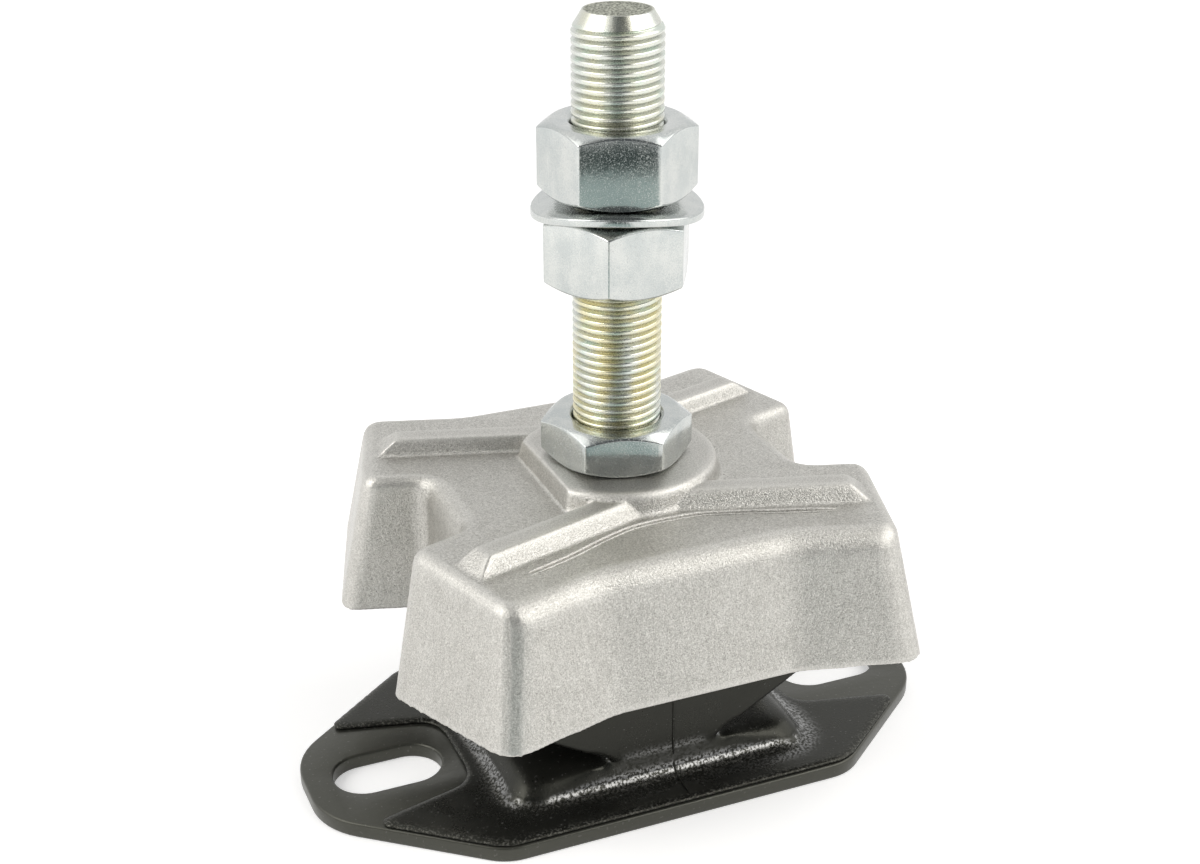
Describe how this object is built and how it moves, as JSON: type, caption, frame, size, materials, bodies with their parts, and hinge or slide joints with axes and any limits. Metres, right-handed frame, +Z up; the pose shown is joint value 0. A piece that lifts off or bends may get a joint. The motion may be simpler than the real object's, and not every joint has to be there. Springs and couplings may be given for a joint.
{
  "type": "rubber anti-vibration mount",
  "caption": "Rubber anti-vibration mount: slotted steel base plate, bonded rubber body, cast top with flared arms, and a levelling stud with its nuts and a spring washer.",
  "frame": {"origin": "centre of the base plate's underside, on the stud's axis", "axes": "+Z up along the stud, +X along the plate through both slots, +Y to the back of the picture's view"},
  "size_m": [0.1234, 0.0916, 0.142],
  "materials": {
    "black_plate": "satin black coating on steel",
    "rubber": "black moulded rubber with a soft sheen",
    "cast_aluminium": "as cast and blasted, matt and finely grained",
    "stud_zinc": "bright zinc with a faint yellow-green tint",
    "zinc": "bright zinc with a faint blue tint"
  },
  "bodies": {
    "base": {"base_plate": "black_plate", "rubber_element": "rubber"},
    "casting": {"top_casting": "cast_aluminium", "threaded_stud": "stud_zinc", "jam_nut": "zinc"},
    "washer": {"spring_washer": "zinc"},
    "levelling": {"levelling_nut": "zinc"},
    "clamp": {"clamp_nut": "zinc"}
  },
  "joints": [
    {"name": "load_deflection", "type": "slide", "parent": "base", "child": "casting", "axis": [0, 0, 1], "range_m": [-0.006, 0.0015], "stiffness_N_per_m": 200000, "deforming": ["rubber_element"]},
    {"name": "height_setting", "type": "slide", "parent": "casting", "child": "washer", "axis": [0, 0, 1], "range_m": [-0.024, 0.018]},
    {"name": "levelling_nut_turn", "type": "hinge", "parent": "washer", "child": "levelling", "pos_m": [0, 0, 0.0997], "axis": [0, 0, 1], "range_deg": [-5765, 4325]},
    {"name": "clamp_nut_turn", "type": "hinge", "parent": "washer", "child": "clamp", "pos_m": [0, 0, 0.1155], "axis": [0, 0, 1], "range_deg": [-5765, 4325]}
  ],
  "couplings": [
    {"joint": "levelling_nut_turn", "follows": "height_setting", "rad_per_m": 4188.8},
    {"joint": "clamp_nut_turn", "follows": "height_setting", "rad_per_m": 4188.8}
  ]
}
